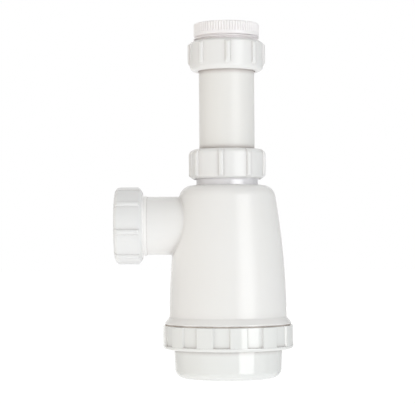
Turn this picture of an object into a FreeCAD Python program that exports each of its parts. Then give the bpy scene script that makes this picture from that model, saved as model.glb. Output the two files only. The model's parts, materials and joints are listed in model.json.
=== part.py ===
import FreeCAD, Part
import math
import os

# Bottle trap for a sink waste, in millimetres, +Z up.
# The origin is the middle of the cup's base, on the axis that bottle, tube and bush share.
# The outlet points along -X. Threaded lengths are plain: a male one has the thread's root
# radius, and a female one its crest radius and a clearance.

# Inlet tube
TUBE_OD = 40.0
TUBE_WALL = 1.9
TUBE_LENGTH = 138.1
TUBE_INSERT = 68.0          # length of tube below the top of the neck
FLANGE_MARGIN = 1.0         # flange and washer to the bore of the nut round them
FLANGE_THICKNESS = 2.6
TUBE_END_CHAMFER = 0.8

# Union thread, shared by neck, outlet branch and bush
NECK_WALL = 1.9             # pipe bore to the root of the thread
UNION_THREAD_DEPTH = 1.5

# Union nut, used three times
INLET_NUT_HEIGHT = 21.6     # nut on the neck and nut under the bush
OUTLET_NUT_HEIGHT = 20.0
NUT_WALL = 2.45
NUT_RIM = 0.5               # width of the flat rim round the mouth
NUT_CONE_SLOPE = 0.72       # rise of the mouth's cone for each millimetre of radius
NUT_LIP = 3.0
NUT_LIP_ROUND = 2.3
NUT_MOUTH_CHAMFER = 0.3
RIB_COUNT = 8
RIB_HEIGHT = 1.7
RIB_ROUND = 2.0
RIB_END_ROUND = 5.0
NECK_RIB_ANGLE = -10.0      # one rib's angle from the front, towards the right
INLET_RIB_ANGLE = 1.5
OUTLET_RIB_ANGLE = 9.7      # one rib's angle from the front, downwards

# Seals and rings
SEAL_HEIGHT = 4.0
SEAL_MARGIN = 1.0           # seal to the bore of its nut
SEAL_NOSE = 2.0
SEAL_TAPER = 1.2
SLIP_RING_THICKNESS = 1.2
SLIP_RING_MARGIN = 0.6
WASHER_THICKNESS = 2.6
WASHER_STEP = 0.2           # bore of a washer beyond the bore that it seals
GASKET_THICKNESS = 2.4
GASKET_MARGIN = 0.8         # gasket beyond each side of the bottle's foot

# Reducing bush
BUSH_THREAD_LENGTH = 16.8
COLLAR_STEP = 1.4           # collar beyond the root of the thread
COLLAR_HEIGHT = 9.5
COLLAR_TOP_CHAMFER = 1.2
KNURL_HEIGHT = 7.2
KNURL_COUNT = 72
KNURL_DEPTH = 0.5
KNURL_WIDTH = 1.1
BUSH_WALL = 1.25            # root of the male thread to the crest of the female one
BUSH_MOUTH_CHAMFER = 0.6
BUSH_SEAT_STEP = 0.45       # pocket of the washer, inside the female thread
BUSH_FLOOR = 4.6
BUSH_FLOOR_LIP = 2.3        # width of the floor that carries the washer
BUSH_WASHER_THICKNESS = 2.5

# Cleanout cup
CUP_STEP = 2.4              # top of the cup's wall inside the root of the bottle's foot
CUP_DRAFT = 1.1             # narrowing of the cup from its top to its base
CUP_BASE_DEPTH = 20.8
CUP_CORNER_ROUND = 6.3
CUP_WALL = 2.1
CUP_FLOOR = 2.4
CUP_LEDGE = 3.0
BAND_WALL = 3.45
BAND_HEIGHT = 16.8
BAND_LOWER_ROUND = 2.2
BAND_TOP_CHAMFER = 0.4
GRIP_COUNT = 12
GRIP_WIDTH = 12.6
GRIP_DEPTH = 1.1
GRIP_SILL = 2.4             # band left below each grip recess
GRIP_FLANK_ANGLE = 48.0
GRIP_ANGLE = -6.5           # middle of one recess from the front, towards the right

# Bottle
BOTTLE_WALL = 2.2
FOOT_RADIUS = 42.2          # outer radius of the wall just above the flare
WALL_LEAN_TOP = 9.5
WALL_LEAN_FOOT = 0.5
BOTTLE_HEIGHT = 99.7        # flange underside to shoulder
SHOULDER_ROUND = 9.5
RIM_INSET = 1.25            # bottle's rim inside the grip band
RIM_HEIGHT = 1.0
RIM_ROUND = 0.35
FLARE_HEIGHT = 4.2
FLARE_ROUND = 0.9           # hollow round between the flare and the wall
SKIRT_STEP = 0.8            # root of the foot's thread inside the wall
SKIRT_THREAD_DEPTH = 1.6
SKIRT_WALL = 2.0
NECK_LENGTH = 17.8
DIP_WALL = 1.9
WATER_SEAL = 58.0           # outlet invert to the lower end of the dip tube

# Outlet branch
OUTLET_DROP = 28.9          # shoulder to the branch's axis
OUTLET_REACH = 73.0         # bottle axis to the branch's mouth
BRANCH_STEP = 1.25          # branch below the root of its collar's thread
BRANCH_WALL = 2.1
BRANCH_FILLET = 1.0
SOCKET_LENGTH = 14.9        # threaded collar of the branch, with the pipe socket inside
SOCKET_EDGE = 0.5           # bevel of the collar's inner end
SOCKET_DEPTH = 13.0
PIPE_OD = 40.0

# Clearances
JOINT_GAP = 0.8             # grip band to the bottle's rim
SLIDE_CLEARANCE = 0.3       # tube in neck and pipe in socket
SEAL_CLEARANCE = 0.15       # rubber round a tube, and a seal's nose in its seat
LIP_CLEARANCE = 0.5         # nut lip round a tube
THREAD_CLEARANCE = 0.3
WASHER_CLEARANCE = 0.15

# Levels that follow from the sizes above
LEDGE_Z = CUP_BASE_DEPTH + CUP_LEDGE
FOOT_Z = LEDGE_Z + GASKET_THICKNESS
BAND_TOP_Z = CUP_BASE_DEPTH + BAND_HEIGHT
RIM_Z = BAND_TOP_Z + JOINT_GAP
FLARE_TOP_Z = RIM_Z + RIM_HEIGHT + FLARE_HEIGHT
WALL_FOOT_Z = FLARE_TOP_Z + FLARE_ROUND
SHOULDER_Z = RIM_Z + BOTTLE_HEIGHT
CEILING_Z = SHOULDER_Z - BOTTLE_WALL
NECK_TOP_Z = SHOULDER_Z + NECK_LENGTH
OUTLET_Z = SHOULDER_Z - OUTLET_DROP
TUBE_FOOT_Z = NECK_TOP_Z - TUBE_INSERT
TUBE_TOP_Z = TUBE_FOOT_Z + TUBE_LENGTH
INLET_LIP_Z = TUBE_TOP_Z - FLANGE_THICKNESS
BUSH_FOOT_Z = TUBE_TOP_Z + WASHER_THICKNESS


class Union:
    """Sizes of a screwed union, with radii worked outwards from the pipe that it grips."""

    def __init__(self, pipe_od, nut_height):
        self.pipe = pipe_od / 2
        self.nut_height = nut_height
        self.bore = self.pipe + SLIDE_CLEARANCE
        self.root = self.bore + NECK_WALL
        self.nut_bore = self.root + UNION_THREAD_DEPTH + THREAD_CLEARANCE
        self.nut_rim = self.nut_bore + NUT_RIM
        self.nut_body = self.nut_bore + NUT_WALL
        self.rib_tip = self.nut_body + RIB_HEIGHT
        self.nut_lip_bore = self.pipe + LIP_CLEARANCE


# Radii that follow from the sizes above
INLET = Union(TUBE_OD, INLET_NUT_HEIGHT)
OUTLET = Union(PIPE_OD, OUTLET_NUT_HEIGHT)
TUBE_BORE_RADIUS = INLET.pipe - TUBE_WALL
FLANGE_RADIUS = INLET.nut_bore - FLANGE_MARGIN
DIP_RADIUS = INLET.bore + DIP_WALL
BRANCH_RADIUS = OUTLET.root - BRANCH_STEP
BRANCH_BORE_RADIUS = BRANCH_RADIUS - BRANCH_WALL
COLLAR_RADIUS = INLET.root + COLLAR_STEP
BUSH_BORE_RADIUS = INLET.root - BUSH_WALL
BUSH_SEAT_RADIUS = BUSH_BORE_RADIUS - BUSH_SEAT_STEP
BUSH_FLOOR_BORE_RADIUS = BUSH_SEAT_RADIUS - BUSH_FLOOR_LIP
SKIRT_ROOT_RADIUS = FOOT_RADIUS - SKIRT_STEP
SKIRT_BORE_RADIUS = SKIRT_ROOT_RADIUS - SKIRT_WALL
BAND_BORE_RADIUS = SKIRT_ROOT_RADIUS + SKIRT_THREAD_DEPTH + THREAD_CLEARANCE
BAND_RADIUS = BAND_BORE_RADIUS + BAND_WALL
RIM_RADIUS = BAND_RADIUS - RIM_INSET
CUP_TOP_RADIUS = SKIRT_ROOT_RADIUS - CUP_STEP
CUP_BASE_RADIUS = CUP_TOP_RADIUS - CUP_DRAFT

ORIGIN = FreeCAD.Vector(0, 0, 0)
UP = FreeCAD.Vector(0, 0, 1)
RIGHT = FreeCAD.Vector(1, 0, 0)
BACK = FreeCAD.Vector(0, 1, 0)
FRONT_TURN = -90.0          # turns a feature from +X to the front, -Y


def spot(point):
    """Place of a (radius, height) point in the XZ plane."""
    return FreeCAD.Vector(point[0], 0, point[1])


def turned(outline):
    """Solid turned about Z from a closed outline of (radius, height) corners.

    A list of two points in the outline is an arc through the first to the second.
    """
    edges = []
    here = outline[0]
    for step in outline[1:] + [outline[0]]:
        if isinstance(step, list):
            edges.append(Part.Arc(spot(here), spot(step[0]), spot(step[1])).toShape())
            here = step[1]
        else:
            edges.append(Part.makeLine(spot(here), spot(step)))
            here = step
    return Part.Face(Part.Wire(edges)).revolve(ORIGIN, UP, 360)


def rounded(before, corner, after, radius):
    """Outline steps that round a corner between two straight runs."""
    back = (spot(before) - spot(corner)).normalize()
    ahead = (spot(after) - spot(corner)).normalize()
    half_angle = back.getAngle(ahead) / 2
    start = spot(corner) + back * (radius / math.tan(half_angle))
    end = spot(corner) + ahead * (radius / math.tan(half_angle))
    to_centre = (back + ahead).normalize()
    middle = spot(corner) + to_centre * (radius / math.sin(half_angle) - radius)
    return [(start.x, start.z), [(middle.x, middle.z), (end.x, end.z)]]


def flat_ring(bore_radius, outer_radius, low, high):
    """Plain ring of rectangular section."""
    return turned([(bore_radius, low), (outer_radius, low), (outer_radius, high), (bore_radius, high)])


def spread(shape, count, first_angle):
    """Copies of a shape at even angles about Z."""
    copies = []
    for index in range(count):
        copy = shape.copy()
        copy.rotate(ORIGIN, UP, first_angle + index * 360 / count)
        copies.append(copy)
    return copies


def onto_neck(shape):
    """Moves a shape made on a seat at the origin, facing +Z, to the top of the neck."""
    shape.translate(FreeCAD.Vector(0, 0, NECK_TOP_Z))
    return shape


def onto_branch(shape):
    """Moves a shape made on a seat at the origin, facing +Z, to the mouth of the branch."""
    shape.rotate(ORIGIN, BACK, -90)
    shape.translate(FreeCAD.Vector(-OUTLET_REACH, 0, OUTLET_Z))
    return shape


def pipe_seat(union, depth):
    """Filled bore for a pipe, with its mouth at the origin and a taper there for the seal's nose."""
    return turned([
        (0, -depth), (union.bore, -depth), (union.bore, -SEAL_NOSE), (union.bore + SEAL_TAPER, 0), (0, 0)])


def wall_arc(inset):
    """Bottle wall from foot to shoulder as outline steps, moved inwards by inset."""
    lean_top = math.radians(WALL_LEAN_TOP)
    lean_foot = math.radians(WALL_LEAN_FOOT)
    lean_middle = (lean_top + lean_foot) / 2
    top_z = SHOULDER_Z - SHOULDER_ROUND * (1 - math.sin(lean_top))
    bend = (top_z - WALL_FOOT_Z) / (math.sin(lean_top) - math.sin(lean_foot))
    centre_r = FOOT_RADIUS - bend * math.cos(lean_foot)
    centre_z = WALL_FOOT_Z - bend * math.sin(lean_foot)

    def on_wall(lean):
        reach = bend - inset
        return (centre_r + reach * math.cos(lean), centre_z + reach * math.sin(lean))

    round_r = centre_r + (bend - SHOULDER_ROUND) * math.cos(lean_top)
    round_z = centre_z + (bend - SHOULDER_ROUND) * math.sin(lean_top)
    turn_middle = (lean_top + math.pi / 2) / 2
    corner = SHOULDER_ROUND - inset
    return [
        on_wall(lean_foot),
        [on_wall(lean_middle), on_wall(lean_top)],
        [
            (round_r + corner * math.cos(turn_middle), round_z + corner * math.sin(turn_middle)),
            (round_r, round_z + corner),
        ],
    ]


def bottle_body():
    """Bottle shell, neck and outlet branch as one moulding."""
    skirt_top = (SKIRT_ROOT_RADIUS, RIM_Z)
    rim_low = (RIM_RADIUS, RIM_Z)
    rim_high = (RIM_RADIUS, RIM_Z + RIM_HEIGHT)
    flare_top = (FOOT_RADIUS, FLARE_TOP_Z)
    outside = turned(
        [(0, FOOT_Z), (SKIRT_ROOT_RADIUS, FOOT_Z), skirt_top]
        + rounded(skirt_top, rim_low, rim_high, RIM_ROUND)
        + rounded(rim_low, rim_high, flare_top, RIM_ROUND)
        + rounded(rim_high, flare_top, (FOOT_RADIUS, WALL_FOOT_Z), FLARE_ROUND)
        + wall_arc(0)
        + [(INLET.root, SHOULDER_Z), (INLET.root, NECK_TOP_Z), (0, NECK_TOP_Z)]
    )
    branch_end = OUTLET_REACH - SOCKET_LENGTH
    branch = Part.makeCylinder(BRANCH_RADIUS, branch_end, FreeCAD.Vector(0, 0, OUTLET_Z), -RIGHT)
    outside = outside.fuse(branch)
    meeting = [
        edge for edge in outside.Edges
        if not isinstance(edge.Curve, (Part.Line, Part.Circle))
        and edge.CenterOfMass.x < 0
    ]
    outside = outside.makeFillet(BRANCH_FILLET, meeting)

    hollow = turned(
        [(0, FOOT_Z), (SKIRT_BORE_RADIUS, FOOT_Z), (SKIRT_BORE_RADIUS, RIM_Z)]
        + wall_arc(BOTTLE_WALL)
        + [(0, CEILING_Z)]
    )
    branch_bore = Part.makeCylinder(
        BRANCH_BORE_RADIUS, branch_end, FreeCAD.Vector(0, 0, OUTLET_Z), -RIGHT)
    neck_bore = onto_neck(pipe_seat(INLET, NECK_TOP_Z - CEILING_Z))
    return outside.cut([hollow, branch_bore, neck_bore]).removeSplitter()


def outlet_collar():
    """Threaded collar welded on the end of the branch, with the pipe's socket inside."""
    blank = turned([
        (BRANCH_BORE_RADIUS, -SOCKET_LENGTH), (OUTLET.root - SOCKET_EDGE, -SOCKET_LENGTH),
        (OUTLET.root, SOCKET_EDGE - SOCKET_LENGTH), (OUTLET.root, 0), (BRANCH_BORE_RADIUS, 0),
    ])
    return onto_branch(blank.cut(pipe_seat(OUTLET, SOCKET_DEPTH)))


def dip_tube():
    """Tube below the neck, welded under the shoulder, that reaches into the standing water."""
    end_z = OUTLET_Z - BRANCH_BORE_RADIUS - WATER_SEAL
    return flat_ring(INLET.bore, DIP_RADIUS, end_z, CEILING_Z)


def grip_recess():
    """Cutter for one recess of the cup's grip band, open at the band's top."""
    half = GRIP_WIDTH / 2
    floor_radius = BAND_RADIUS - GRIP_DEPTH
    flank = math.tan(math.radians(GRIP_FLANK_ANGLE))
    inner_x = BAND_BORE_RADIUS
    outer_x = BAND_RADIUS + GRIP_DEPTH
    inner_half = half - (BAND_RADIUS - inner_x) * flank
    outer_half = half + (outer_x - BAND_RADIUS) * flank
    sill_z = CUP_BASE_DEPTH + GRIP_SILL
    corners = [(inner_x, -inner_half), (outer_x, -outer_half), (outer_x, outer_half), (inner_x, inner_half)]
    loop = [FreeCAD.Vector(x, y, sill_z) for x, y in corners]
    block = Part.Face(Part.makePolygon(loop + loop[:1])).extrude(UP * BAND_HEIGHT)
    core = Part.makeCylinder(floor_radius, BAND_HEIGHT * 2, FreeCAD.Vector(0, 0, CUP_BASE_DEPTH))
    return block.cut(core)


def cleanout_cup():
    """Screwed bottom cup with its grip band, one moulding."""
    base_corner = (CUP_BASE_RADIUS, 0)
    neck_corner = (CUP_TOP_RADIUS, CUP_BASE_DEPTH)
    band_corner = (BAND_RADIUS, CUP_BASE_DEPTH)
    band_top = (BAND_RADIUS, BAND_TOP_Z)
    inner_round = CUP_CORNER_ROUND - CUP_WALL
    inner_corner = (CUP_BASE_RADIUS - CUP_WALL, CUP_FLOOR)
    ledge = (CUP_TOP_RADIUS - CUP_WALL, LEDGE_Z)
    blank = turned(
        [(0, 0)]
        + rounded((0, 0), base_corner, neck_corner, CUP_CORNER_ROUND)
        + [neck_corner]
        + rounded(neck_corner, band_corner, band_top, BAND_LOWER_ROUND)
        + [(BAND_RADIUS, BAND_TOP_Z - BAND_TOP_CHAMFER), (BAND_RADIUS - BAND_TOP_CHAMFER, BAND_TOP_Z),
           (BAND_BORE_RADIUS, BAND_TOP_Z), (BAND_BORE_RADIUS, LEDGE_Z), ledge]
        + rounded(ledge, inner_corner, (0, CUP_FLOOR), inner_round)
        + [(0, CUP_FLOOR)]
    )
    return blank.cut(spread(grip_recess(), GRIP_COUNT, FRONT_TURN + GRIP_ANGLE))


def cup_gasket():
    """Flat ring that the bottle's foot presses on the cup's ledge."""
    return flat_ring(SKIRT_BORE_RADIUS - GASKET_MARGIN, SKIRT_ROOT_RADIUS + GASKET_MARGIN, LEDGE_Z, FOOT_Z)


def inlet_tube():
    """Telescopic tube with a flange at its head."""
    outside = INLET.pipe
    return turned([
        (TUBE_BORE_RADIUS, TUBE_FOOT_Z), (outside - TUBE_END_CHAMFER, TUBE_FOOT_Z),
        (outside, TUBE_FOOT_Z + TUBE_END_CHAMFER), (outside, INLET_LIP_Z),
        (FLANGE_RADIUS, INLET_LIP_Z), (FLANGE_RADIUS, TUBE_TOP_Z), (TUBE_BORE_RADIUS, TUBE_TOP_Z),
    ])


def nut_outside(union, radius, lip_round):
    """Outside of a union nut, filled: mouth cone, straight side and rounded lip end."""
    lip_z = NUT_LIP
    mouth_z = NUT_LIP - union.nut_height
    cone_top_z = mouth_z + (radius - union.nut_rim) * NUT_CONE_SLOPE
    return turned(
        [(0, mouth_z), (union.nut_rim, mouth_z), (radius, cone_top_z)]
        + rounded((radius, cone_top_z), (radius, lip_z), (0, lip_z), lip_round)
        + [(0, lip_z)]
    )


def union_nut(union, rib_angle):
    """Ribbed union nut with the inner face of its lip at the origin and its lip towards +Z."""
    mouth_z = NUT_LIP - union.nut_height
    ridge = Part.makeCylinder(
        RIB_ROUND, union.nut_height, FreeCAD.Vector(union.rib_tip - RIB_ROUND, 0, mouth_z))
    rib = ridge.common(nut_outside(union, union.rib_tip, RIB_END_ROUND))
    bore = turned([
        (0, mouth_z), (union.nut_bore + NUT_MOUTH_CHAMFER, mouth_z),
        (union.nut_bore, mouth_z + NUT_MOUTH_CHAMFER), (union.nut_bore, 0), (union.nut_lip_bore, 0),
        (union.nut_lip_bore, NUT_LIP), (0, NUT_LIP),
    ])
    body = nut_outside(union, union.nut_body, NUT_LIP_ROUND)
    return body.fuse(spread(rib, RIB_COUNT, rib_angle)).cut(bore).removeSplitter()


def tapered_seal(union):
    """Seal on a mouth at the origin, with its nose in the mouth's taper."""
    bore = union.pipe + SEAL_CLEARANCE
    outside = union.nut_bore - SEAL_MARGIN
    nose_root = union.bore + SEAL_TAPER - SEAL_CLEARANCE
    nose = SEAL_NOSE * (nose_root - union.bore) / SEAL_TAPER
    return turned([
        (bore, -nose), (union.bore, -nose), (nose_root, 0), (outside, 0),
        (outside, SEAL_HEIGHT), (bore, SEAL_HEIGHT),
    ])


def slip_ring(union):
    """Stiff ring on top of a tapered seal."""
    top = SEAL_HEIGHT + SLIP_RING_THICKNESS
    return flat_ring(union.bore, union.nut_bore - SLIP_RING_MARGIN, SEAL_HEIGHT, top)


def seated_nut(union, rib_angle):
    """Union nut above its slip ring and seal."""
    nut = union_nut(union, rib_angle)
    nut.translate(UP * (SEAL_HEIGHT + SLIP_RING_THICKNESS))
    return nut


def inlet_nut():
    """Union nut turned mouth up, its lip under the tube's flange."""
    nut = union_nut(INLET, -FRONT_TURN - INLET_RIB_ANGLE)
    nut.rotate(ORIGIN, RIGHT, 180)
    nut.translate(UP * INLET_LIP_Z)
    return nut


def inlet_washer():
    """Flat washer between the tube's flange and the bush."""
    return flat_ring(TUBE_BORE_RADIUS + WASHER_STEP, FLANGE_RADIUS, TUBE_TOP_Z, BUSH_FOOT_Z)


def reducer_bush():
    """Ribbed bush, male thread outside and female thread inside."""
    collar_z = BUSH_FOOT_Z + BUSH_THREAD_LENGTH
    top_z = collar_z + COLLAR_HEIGHT
    floor_z = BUSH_FOOT_Z + BUSH_FLOOR
    seat_z = floor_z + BUSH_WASHER_THICKNESS
    blank = turned([
        (BUSH_FLOOR_BORE_RADIUS, BUSH_FOOT_Z), (INLET.root, BUSH_FOOT_Z),
        (INLET.root, collar_z), (COLLAR_RADIUS, collar_z),
        (COLLAR_RADIUS, top_z - COLLAR_TOP_CHAMFER), (COLLAR_RADIUS - COLLAR_TOP_CHAMFER, top_z),
        (BUSH_BORE_RADIUS + BUSH_MOUTH_CHAMFER, top_z), (BUSH_BORE_RADIUS, top_z - BUSH_MOUTH_CHAMFER),
        (BUSH_BORE_RADIUS, seat_z), (BUSH_SEAT_RADIUS, seat_z), (BUSH_SEAT_RADIUS, floor_z),
        (BUSH_FLOOR_BORE_RADIUS, floor_z),
    ])
    knurl_z = top_z - KNURL_HEIGHT
    corners = [(COLLAR_RADIUS - KNURL_DEPTH, 0), (COLLAR_RADIUS + KNURL_DEPTH, -KNURL_WIDTH),
               (COLLAR_RADIUS + KNURL_DEPTH, KNURL_WIDTH)]
    loop = [FreeCAD.Vector(x, y, knurl_z) for x, y in corners]
    groove = Part.Face(Part.makePolygon(loop + loop[:1])).extrude(UP * KNURL_HEIGHT)
    return blank.cut(spread(groove, KNURL_COUNT, FRONT_TURN))


def bush_washer():
    """Flat washer in the pocket below the bush's female thread."""
    low = BUSH_FOOT_Z + BUSH_FLOOR
    bore = BUSH_FLOOR_BORE_RADIUS + WASHER_STEP
    outer = BUSH_SEAT_RADIUS - WASHER_CLEARANCE
    return flat_ring(bore, outer, low, low + BUSH_WASHER_THICKNESS)


NODES = {
    "bottle_body": bottle_body(),
    "dip_tube": dip_tube(),
    "outlet_collar": outlet_collar(),
    "cleanout_cup": cleanout_cup(),
    "cup_gasket": cup_gasket(),
    "inlet_tube": inlet_tube(),
    "inlet_nut": inlet_nut(),
    "inlet_washer": inlet_washer(),
    "reducer_bush": reducer_bush(),
    "bush_washer": bush_washer(),
    "neck_nut": onto_neck(seated_nut(INLET, FRONT_TURN + NECK_RIB_ANGLE)),
    "neck_slip_ring": onto_neck(slip_ring(INLET)),
    "neck_seal": onto_neck(tapered_seal(INLET)),
    "outlet_nut": onto_branch(seated_nut(OUTLET, FRONT_TURN - OUTLET_RIB_ANGLE)),
    "outlet_slip_ring": onto_branch(slip_ring(OUTLET)),
    "outlet_seal": onto_branch(tapered_seal(OUTLET)),
}

os.makedirs("parts", exist_ok=True)
for name, shape in NODES.items():
    shape.exportStep(os.path.join("parts", name + ".step"))
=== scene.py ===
"""Bottle trap: moulded detail, finishes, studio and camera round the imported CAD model.

Lengths are in metres in the frame of the CAD model, with +Z up and the outlet along -X.
"""

import json
import math
from collections import namedtuple

import bmesh
import bpy
from bpy.props import FloatProperty, FloatVectorProperty, IntProperty, PointerProperty
from mathutils import Matrix, Vector

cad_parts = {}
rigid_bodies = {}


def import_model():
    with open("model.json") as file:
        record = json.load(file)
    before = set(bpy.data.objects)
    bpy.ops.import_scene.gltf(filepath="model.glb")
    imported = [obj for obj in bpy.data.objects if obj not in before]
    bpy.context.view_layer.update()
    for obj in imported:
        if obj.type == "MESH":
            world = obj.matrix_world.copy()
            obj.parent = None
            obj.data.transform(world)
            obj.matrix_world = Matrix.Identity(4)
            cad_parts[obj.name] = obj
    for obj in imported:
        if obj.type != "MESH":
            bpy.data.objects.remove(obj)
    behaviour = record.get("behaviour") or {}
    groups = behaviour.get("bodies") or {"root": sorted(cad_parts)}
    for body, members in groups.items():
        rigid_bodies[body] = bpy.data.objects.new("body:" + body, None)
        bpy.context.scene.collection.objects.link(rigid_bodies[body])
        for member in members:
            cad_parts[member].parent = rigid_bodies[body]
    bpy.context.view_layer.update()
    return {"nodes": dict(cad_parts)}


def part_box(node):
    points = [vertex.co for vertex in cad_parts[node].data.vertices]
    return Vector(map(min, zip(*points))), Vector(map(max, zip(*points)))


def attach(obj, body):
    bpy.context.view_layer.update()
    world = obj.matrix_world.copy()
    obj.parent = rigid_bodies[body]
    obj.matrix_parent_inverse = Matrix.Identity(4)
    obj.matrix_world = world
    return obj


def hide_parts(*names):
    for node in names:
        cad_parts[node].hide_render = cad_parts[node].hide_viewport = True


bl_info = {
    "name": "Bottle Trap",
    "version": (1, 0, 0),
    "blender": (4, 5, 0),
    "location": "View3D > Sidebar > Bottle Trap",
    "description": "Builds the moulded detail, finishes and studio of a bottle trap",
    "category": "Object",
}

for leftover in list(bpy.data.objects):
    bpy.data.objects.remove(leftover)
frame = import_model()

MM = 0.001
FULL_TURN = 2 * math.pi

# Frame

BOTTLE_LOW, BOTTLE_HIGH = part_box("bottle_body")
CUP_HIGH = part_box("cleanout_cup")[1]
BUSH_LOW, BUSH_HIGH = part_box("reducer_bush")
COLLAR_LOW, COLLAR_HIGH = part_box("outlet_collar")
OUTLET_AXIS_Z = (COLLAR_LOW.z + COLLAR_HIGH.z) / 2

# Fineness of the meshes

ARC_STEP = math.radians(12)
SHARP_EDGE = math.radians(38)
HOLD = 0.35 * MM  # plain row kept beside each rounded corner, so that flats shade flat
PLAIN_COLUMNS = 144  # round a piece with no ribs or grooves
THREAD_ROWS = 8  # in one pitch of a union thread
MOUTH_ROWS = 6  # in one pitch of the bush's female thread
BAND_THREAD_ROW = 0.45 * MM  # step between the rows of the cup's female thread
GROOVE_FOOT_ROW = 0.2 * MM  # step between the rows where a groove of the bush fades out
GROOVE_FOOT_BAND = 1 * MM
GROOVE_ROW = 2 * MM
SILL_ROW = 0.12 * MM  # step between the rows of a recess's sloping lower side
SILL_BAND = 0.6 * MM
RECESS_ROW = 3 * MM
RIDGE_STEPS = 72  # in one turn of a winding ridge
CONE_BAND = 5 * MM  # part of a nut's side, from its mouth, that has close rows
CONE_ROWS = 14
SIDE_ROWS = 6
QUARTER_ROWS = 10  # in the quarter round of a rib's end and of the lip
RIB_COLUMNS = (  # degrees from the middle of a rib
    0.6, 1.2, 1.8, 2.4, 2.9, 3.3, 3.65, 3.95, 4.2, 4.4, 4.7, 5.2, 6.2, 8.5, 12.0, 15.5, 19.0)
GROOVE_COLUMNS = (0.35, 0.7, 1.05)  # half widths from the middle of a groove
RECESS_COLUMNS = (  # flank widths from the edge of a recess
    -4.0, -2.5, -1.3, -1.0, -0.75, -0.5, -0.25, 0.0, 0.3, 1.5, 3.0)

# Form of a thread's ridge, in pitches

RIDGE_FOOT = 0.42
RIDGE_FLANK = 0.34
RIDGE_PLACES = (-0.42, -0.33, -0.25, -0.16, -0.08, 0.08, 0.16, 0.25, 0.33, 0.42)
RIDGE_TAPER = 0.6  # turns over which the ends of a winding ridge taper

# Moulded whites

TINT_DRIFT = (0.988, 0.985, 0.978)
# Painted shade: share of each channel of the white taken off where creases and corners close in, standing
# in for the shade there
CREASE_SHADE_LOSS = (0.36, 0.40, 0.41)
BRANCH_PAINTED_FULL = -52 * MM  # painted light: from here out along -X the branch is painted whiter, standing in for the light it catches
BRANCH_PAINTED_NONE = -34 * MM  # and from here in it has the bottle's

# Stage

LIGHT_DISTANCE = 1.2  # bottle's axis to each lamp and card
LAMP_HEIGHT = 0.15  # floor to the middle of a lamp
LAMP_FACE = 0.28  # height of a lamp's lit face
LAMP_AIM = 0.12  # height that the lamps face
CARD_LOW = -0.6
CARD_HIGH = 0.8
FLOOR_REACH = 4.0


# Kinds of setting


def length(label, millimetres, description):
    """Setting for a length, with its default given in millimetres."""
    return FloatProperty(
        name=label, description=description, default=millimetres * MM, unit="LENGTH", precision=5)


def angle(label, degrees, description):
    """Setting for an angle, with its default given in degrees."""
    return FloatProperty(
        name=label, description=description, default=math.radians(degrees), subtype="ANGLE")


def share(label, default, description):
    """Setting for a plain number from nought to one."""
    return FloatProperty(
        name=label, description=description, default=default, min=0.0, max=1.0, subtype="FACTOR")


def roughness(piece, default):
    """Setting for the roughness of a piece."""
    return share(piece + " roughness", default, "Gloss of this finish, lower is glossier")


def level(label, default, description):
    """Setting for the strength of a light."""
    return FloatProperty(name=label, description=description, default=default, min=0.0)


def colour(label, default, description):
    """Setting for a colour."""
    return FloatVectorProperty(
        name=label, description=description, default=default, min=0.0, max=1.0, size=3, subtype="COLOR")


def count(label, default, description):
    """Setting for a number of like features."""
    return IntProperty(name=label, description=description, default=default, min=1)


# Settings


class TrapThreadSettings(bpy.types.PropertyGroup):
    """Threads of the unions, the bush and the bottle's foot."""

    union_pitch: length("Union pitch", 2.309, "Rise of the union thread in one turn")
    union_root: length("Union root", 22.2, "Radius at the root of a male union thread")
    union_depth: length("Union depth", 1.5, "Height of a male union thread")
    union_bore: length("Union bore", 24.0, "Radius at the root of a female union thread")
    foot_pitch: length("Foot pitch", 4.0, "Rise of the bottle foot's thread in one turn")
    foot_root: length("Foot root", 41.4, "Radius at the root of the bottle foot's thread")
    foot_depth: length("Foot depth", 1.6, "Height of the bottle foot's thread")
    female_relief: length("Female relief", 0.1, "How much lower a female thread is than a male one")
    sink: length("Sink", 0.15, "Depth of a thread's base inside the wall that carries it")
    bead: length("Bead", 45.35, "Radius of the bead under the bottle's rim")
    bead_gap: length("Bead gap", 0.12, "Grip band to the bead")
    bead_height: length("Bead height", 0.56, "Height of the bead")
    neck_length: length("Neck length", 17.8, "Top of the neck to the bottle's shoulder")
    neck_skin: length("Neck skin", 0.04, "How far the threaded neck stands out from the plain one")
    bush_start: share("Bush start", 0.23, "Place of the bush's thread, as a share of a turn")


class TrapCollarSettings(bpy.types.PropertyGroup):
    """Threaded collar at the end of the outlet branch."""

    bore: length("Bore", 18.85, "Radius of the water way")
    socket: length("Socket", 20.3, "Radius of the pipe's socket")
    socket_depth: length("Socket depth", 13.0, "Mouth to the socket's floor")
    taper: length("Taper", 1.2, "Widening of the socket's mouth for the seal")
    taper_depth: length("Taper depth", 2.0, "Depth of the socket's tapered mouth")
    ring: length("Ring", 21.6, "Radius of the stop ring beside the branch")
    ring_width: length("Ring width", 1.5, "Width of the stop ring")
    ring_round: length("Ring round", 0.2, "Round of the stop ring's edges")
    groove: length("Groove", 21.2, "Radius between the stop ring and the thread")
    groove_width: length("Groove width", 0.8, "Stop ring to the start of the thread")


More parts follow.
